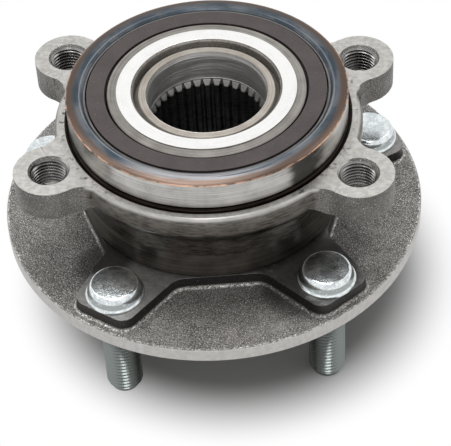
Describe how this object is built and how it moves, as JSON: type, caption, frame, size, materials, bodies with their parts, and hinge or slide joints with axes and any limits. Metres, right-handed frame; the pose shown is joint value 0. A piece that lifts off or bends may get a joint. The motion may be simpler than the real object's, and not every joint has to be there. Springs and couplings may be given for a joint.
{
  "type": "wheel hub bearing",
  "caption": "Driven wheel hub bearing unit: splined flanged spindle with pressed-in wheel studs, turning on two ball rows in an outer ring with a knuckle spigot and threaded ears.",
  "frame": {"origin": "centre of the wheel studs' circle on the wheel face of the flange", "axes": "+Z along the bearing axis towards the knuckle, +X along the longer side of the knuckle bolt rectangle"},
  "size_m": [0.139, 0.139, 0.0862],
  "materials": {
    "forged_steel": "shot-blasted forging with turned machined faces",
    "ground_steel": "ground bright",
    "ball_steel": "lapped and polished",
    "seal_steel": "pressed sheet, dark",
    "seal_rubber": "matte moulded",
    "encoder_rubber": "matte magnet-filled rubber",
    "cage_plastic": "glass-filled nylon",
    "zinc_steel": "bright zinc plate"
  },
  "bodies": {
    "outer": {"outer_ring": "forged_steel", "inboard_seal_case": "seal_steel", "inboard_seal_lip": "seal_rubber", "outboard_seal_case": "seal_steel", "outboard_seal_lip": "seal_rubber"},
    "spindle": {"hub": "forged_steel", "inner_ring": "ground_steel", "encoder_slinger": "seal_steel", "encoder_ring": "encoder_rubber", "wheel_stud_1": "zinc_steel", "wheel_stud_2": "zinc_steel", "wheel_stud_3": "zinc_steel", "wheel_stud_4": "zinc_steel", "wheel_stud_5": "zinc_steel"},
    "inboard_cage": {"inboard_cage": "cage_plastic"},
    "outboard_cage": {"outboard_cage": "cage_plastic"},
    "inboard_ball_01": {"inboard_ball_01": "ball_steel"},
    "inboard_ball_02": {"inboard_ball_02": "ball_steel"},
    "inboard_ball_03": {"inboard_ball_03": "ball_steel"},
    "inboard_ball_04": {"inboard_ball_04": "ball_steel"},
    "inboard_ball_05": {"inboard_ball_05": "ball_steel"},
    "inboard_ball_06": {"inboard_ball_06": "ball_steel"},
    "inboard_ball_07": {"inboard_ball_07": "ball_steel"},
    "inboard_ball_08": {"inboard_ball_08": "ball_steel"},
    "inboard_ball_09": {"inboard_ball_09": "ball_steel"},
    "inboard_ball_10": {"inboard_ball_10": "ball_steel"},
    "inboard_ball_11": {"inboard_ball_11": "ball_steel"},
    "inboard_ball_12": {"inboard_ball_12": "ball_steel"},
    "inboard_ball_13": {"inboard_ball_13": "ball_steel"},
    "inboard_ball_14": {"inboard_ball_14": "ball_steel"},
    "outboard_ball_01": {"outboard_ball_01": "ball_steel"},
    "outboard_ball_02": {"outboard_ball_02": "ball_steel"},
    "outboard_ball_03": {"outboard_ball_03": "ball_steel"},
    "outboard_ball_04": {"outboard_ball_04": "ball_steel"},
    "outboard_ball_05": {"outboard_ball_05": "ball_steel"},
    "outboard_ball_06": {"outboard_ball_06": "ball_steel"},
    "outboard_ball_07": {"outboard_ball_07": "ball_steel"},
    "outboard_ball_08": {"outboard_ball_08": "ball_steel"},
    "outboard_ball_09": {"outboard_ball_09": "ball_steel"},
    "outboard_ball_10": {"outboard_ball_10": "ball_steel"},
    "outboard_ball_11": {"outboard_ball_11": "ball_steel"},
    "outboard_ball_12": {"outboard_ball_12": "ball_steel"},
    "outboard_ball_13": {"outboard_ball_13": "ball_steel"},
    "outboard_ball_14": {"outboard_ball_14": "ball_steel"}
  },
  "joints": [
    {"name": "hub_spin", "type": "hinge", "parent": "outer", "child": "spindle", "pos_m": [0, 0, 0.03], "axis": [0, 0, 1], "continuous": true},
    {"name": "inboard_cage_orbit", "type": "hinge", "parent": "outer", "child": "inboard_cage", "pos_m": [0, 0, 0.0402], "axis": [0, 0, 1], "continuous": true},
    {"name": "inboard_ball_01_spin", "type": "hinge", "parent": "inboard_cage", "child": "inboard_ball_01", "pos_m": [0.033, 0, 0.0402], "axis": [0.6428, 0, 0.766], "continuous": true},
    {"name": "inboard_ball_02_spin", "type": "hinge", "parent": "inboard_cage", "child": "inboard_ball_02", "pos_m": [0.02973, 0.01432, 0.0402], "axis": [0.5791, 0.2789, 0.766], "continuous": true},
    {"name": "inboard_ball_03_spin", "type": "hinge", "parent": "inboard_cage", "child": "inboard_ball_03", "pos_m": [0.02058, 0.0258, 0.0402], "axis": [0.4008, 0.5026, 0.766], "continuous": true},
    {"name": "inboard_ball_04_spin", "type": "hinge", "parent": "inboard_cage", "child": "inboard_ball_04", "pos_m": [0.00734, 0.03217, 0.0402], "axis": [0.143, 0.6267, 0.766], "continuous": true},
    {"name": "inboard_ball_05_spin", "type": "hinge", "parent": "inboard_cage", "child": "inboard_ball_05", "pos_m": [-0.00734, 0.03217, 0.0402], "axis": [-0.143, 0.6267, 0.766], "continuous": true},
    {"name": "inboard_ball_06_spin", "type": "hinge", "parent": "inboard_cage", "child": "inboard_ball_06", "pos_m": [-0.02058, 0.0258, 0.0402], "axis": [-0.4008, 0.5026, 0.766], "continuous": true},
    {"name": "inboard_ball_07_spin", "type": "hinge", "parent": "inboard_cage", "child": "inboard_ball_07", "pos_m": [-0.02973, 0.01432, 0.0402], "axis": [-0.5791, 0.2789, 0.766], "continuous": true},
    {"name": "inboard_ball_08_spin", "type": "hinge", "parent": "inboard_cage", "child": "inboard_ball_08", "pos_m": [-0.033, 0, 0.0402], "axis": [-0.6428, 0, 0.766], "continuous": true},
    {"name": "inboard_ball_09_spin", "type": "hinge", "parent": "inboard_cage", "child": "inboard_ball_09", "pos_m": [-0.02973, -0.01432, 0.0402], "axis": [-0.5791, -0.2789, 0.766], "continuous": true},
    {"name": "inboard_ball_10_spin", "type": "hinge", "parent": "inboard_cage", "child": "inboard_ball_10", "pos_m": [-0.02058, -0.0258, 0.0402], "axis": [-0.4008, -0.5026, 0.766], "continuous": true},
    {"name": "inboard_ball_11_spin", "type": "hinge", "parent": "inboard_cage", "child": "inboard_ball_11", "pos_m": [-0.00734, -0.03217, 0.0402], "axis": [-0.143, -0.6267, 0.766], "continuous": true},
    {"name": "inboard_ball_12_spin", "type": "hinge", "parent": "inboard_cage", "child": "inboard_ball_12", "pos_m": [0.00734, -0.03217, 0.0402], "axis": [0.143, -0.6267, 0.766], "continuous": true},
    {"name": "inboard_ball_13_spin", "type": "hinge", "parent": "inboard_cage", "child": "inboard_ball_13", "pos_m": [0.02058, -0.0258, 0.0402], "axis": [0.4008, -0.5026, 0.766], "continuous": true},
    {"name": "inboard_ball_14_spin", "type": "hinge", "parent": "inboard_cage", "child": "inboard_ball_14", "pos_m": [0.02973, -0.01432, 0.0402], "axis": [0.5791, -0.2789, 0.766], "continuous": true},
    {"name": "outboard_cage_orbit", "type": "hinge", "parent": "outer", "child": "outboard_cage", "pos_m": [0, 0, 0.022], "axis": [0, 0, 1], "continuous": true},
    {"name": "outboard_ball_01_spin", "type": "hinge", "parent": "outboard_cage", "child": "outboard_ball_01", "pos_m": [0.03217, 0.00734, 0.022], "axis": [-0.6267, -0.143, 0.766], "continuous": true},
    {"name": "outboard_ball_02_spin", "type": "hinge", "parent": "outboard_cage", "child": "outboard_ball_02", "pos_m": [0.0258, 0.02058, 0.022], "axis": [-0.5026, -0.4008, 0.766], "continuous": true},
    {"name": "outboard_ball_03_spin", "type": "hinge", "parent": "outboard_cage", "child": "outboard_ball_03", "pos_m": [0.01432, 0.02973, 0.022], "axis": [-0.2789, -0.5791, 0.766], "continuous": true},
    {"name": "outboard_ball_04_spin", "type": "hinge", "parent": "outboard_cage", "child": "outboard_ball_04", "pos_m": [0, 0.033, 0.022], "axis": [0, -0.6428, 0.766], "continuous": true},
    {"name": "outboard_ball_05_spin", "type": "hinge", "parent": "outboard_cage", "child": "outboard_ball_05", "pos_m": [-0.01432, 0.02973, 0.022], "axis": [0.2789, -0.5791, 0.766], "continuous": true},
    {"name": "outboard_ball_06_spin", "type": "hinge", "parent": "outboard_cage", "child": "outboard_ball_06", "pos_m": [-0.0258, 0.02058, 0.022], "axis": [0.5026, -0.4008, 0.766], "continuous": true},
    {"name": "outboard_ball_07_spin", "type": "hinge", "parent": "outboard_cage", "child": "outboard_ball_07", "pos_m": [-0.03217, 0.00734, 0.022], "axis": [0.6267, -0.143, 0.766], "continuous": true},
    {"name": "outboard_ball_08_spin", "type": "hinge", "parent": "outboard_cage", "child": "outboard_ball_08", "pos_m": [-0.03217, -0.00734, 0.022], "axis": [0.6267, 0.143, 0.766], "continuous": true},
    {"name": "outboard_ball_09_spin", "type": "hinge", "parent": "outboard_cage", "child": "outboard_ball_09", "pos_m": [-0.0258, -0.02058, 0.022], "axis": [0.5026, 0.4008, 0.766], "continuous": true},
    {"name": "outboard_ball_10_spin", "type": "hinge", "parent": "outboard_cage", "child": "outboard_ball_10", "pos_m": [-0.01432, -0.02973, 0.022], "axis": [0.2789, 0.5791, 0.766], "continuous": true},
    {"name": "outboard_ball_11_spin", "type": "hinge", "parent": "outboard_cage", "child": "outboard_ball_11", "pos_m": [0, -0.033, 0.022], "axis": [0, 0.6428, 0.766], "continuous": true},
    {"name": "outboard_ball_12_spin", "type": "hinge", "parent": "outboard_cage", "child": "outboard_ball_12", "pos_m": [0.01432, -0.02973, 0.022], "axis": [-0.2789, 0.5791, 0.766], "continuous": true},
    {"name": "outboard_ball_13_spin", "type": "hinge", "parent": "outboard_cage", "child": "outboard_ball_13", "pos_m": [0.0258, -0.02058, 0.022], "axis": [-0.5026, 0.4008, 0.766], "continuous": true},
    {"name": "outboard_ball_14_spin", "type": "hinge", "parent": "outboard_cage", "child": "outboard_ball_14", "pos_m": [0.03217, -0.00734, 0.022], "axis": [-0.6267, 0.143, 0.766], "continuous": true}
  ],
  "couplings": [
    {"joint": "inboard_cage_orbit", "follows": "hub_spin", "ratio": 0.43094},
    {"joint": "inboard_ball_01_spin", "follows": "hub_spin", "ratio": -2.7202},
    {"joint": "inboard_ball_02_spin", "follows": "hub_spin", "ratio": -2.7202},
    {"joint": "inboard_ball_03_spin", "follows": "hub_spin", "ratio": -2.7202},
    {"joint": "inboard_ball_04_spin", "follows": "hub_spin", "ratio": -2.7202},
    {"joint": "inboard_ball_05_spin", "follows": "hub_spin", "ratio": -2.7202},
    {"joint": "inboard_ball_06_spin", "follows": "hub_spin", "ratio": -2.7202},
    {"joint": "inboard_ball_07_spin", "follows": "hub_spin", "ratio": -2.7202},
    {"joint": "inboard_ball_08_spin", "follows": "hub_spin", "ratio": -2.7202},
    {"joint": "inboard_ball_09_spin", "follows": "hub_spin", "ratio": -2.7202},
    {"joint": "inboard_ball_10_spin", "follows": "hub_spin", "ratio": -2.7202},
    {"joint": "inboard_ball_11_spin", "follows": "hub_spin", "ratio": -2.7202},
    {"joint": "inboard_ball_12_spin", "follows": "hub_spin", "ratio": -2.7202},
    {"joint": "inboard_ball_13_spin", "follows": "hub_spin", "ratio": -2.7202},
    {"joint": "inboard_ball_14_spin", "follows": "hub_spin", "ratio": -2.7202},
    {"joint": "outboard_cage_orbit", "follows": "hub_spin", "ratio": 0.43094},
    {"joint": "outboard_ball_01_spin", "follows": "hub_spin", "ratio": -2.7202},
    {"joint": "outboard_ball_02_spin", "follows": "hub_spin", "ratio": -2.7202},
    {"joint": "outboard_ball_03_spin", "follows": "hub_spin", "ratio": -2.7202},
    {"joint": "outboard_ball_04_spin", "follows": "hub_spin", "ratio": -2.7202},
    {"joint": "outboard_ball_05_spin", "follows": "hub_spin", "ratio": -2.7202},
    {"joint": "outboard_ball_06_spin", "follows": "hub_spin", "ratio": -2.7202},
    {"joint": "outboard_ball_07_spin", "follows": "hub_spin", "ratio": -2.7202},
    {"joint": "outboard_ball_08_spin", "follows": "hub_spin", "ratio": -2.7202},
    {"joint": "outboard_ball_09_spin", "follows": "hub_spin", "ratio": -2.7202},
    {"joint": "outboard_ball_10_spin", "follows": "hub_spin", "ratio": -2.7202},
    {"joint": "outboard_ball_11_spin", "follows": "hub_spin", "ratio": -2.7202},
    {"joint": "outboard_ball_12_spin", "follows": "hub_spin", "ratio": -2.7202},
    {"joint": "outboard_ball_13_spin", "follows": "hub_spin", "ratio": -2.7202},
    {"joint": "outboard_ball_14_spin", "follows": "hub_spin", "ratio": -2.7202}
  ]
}
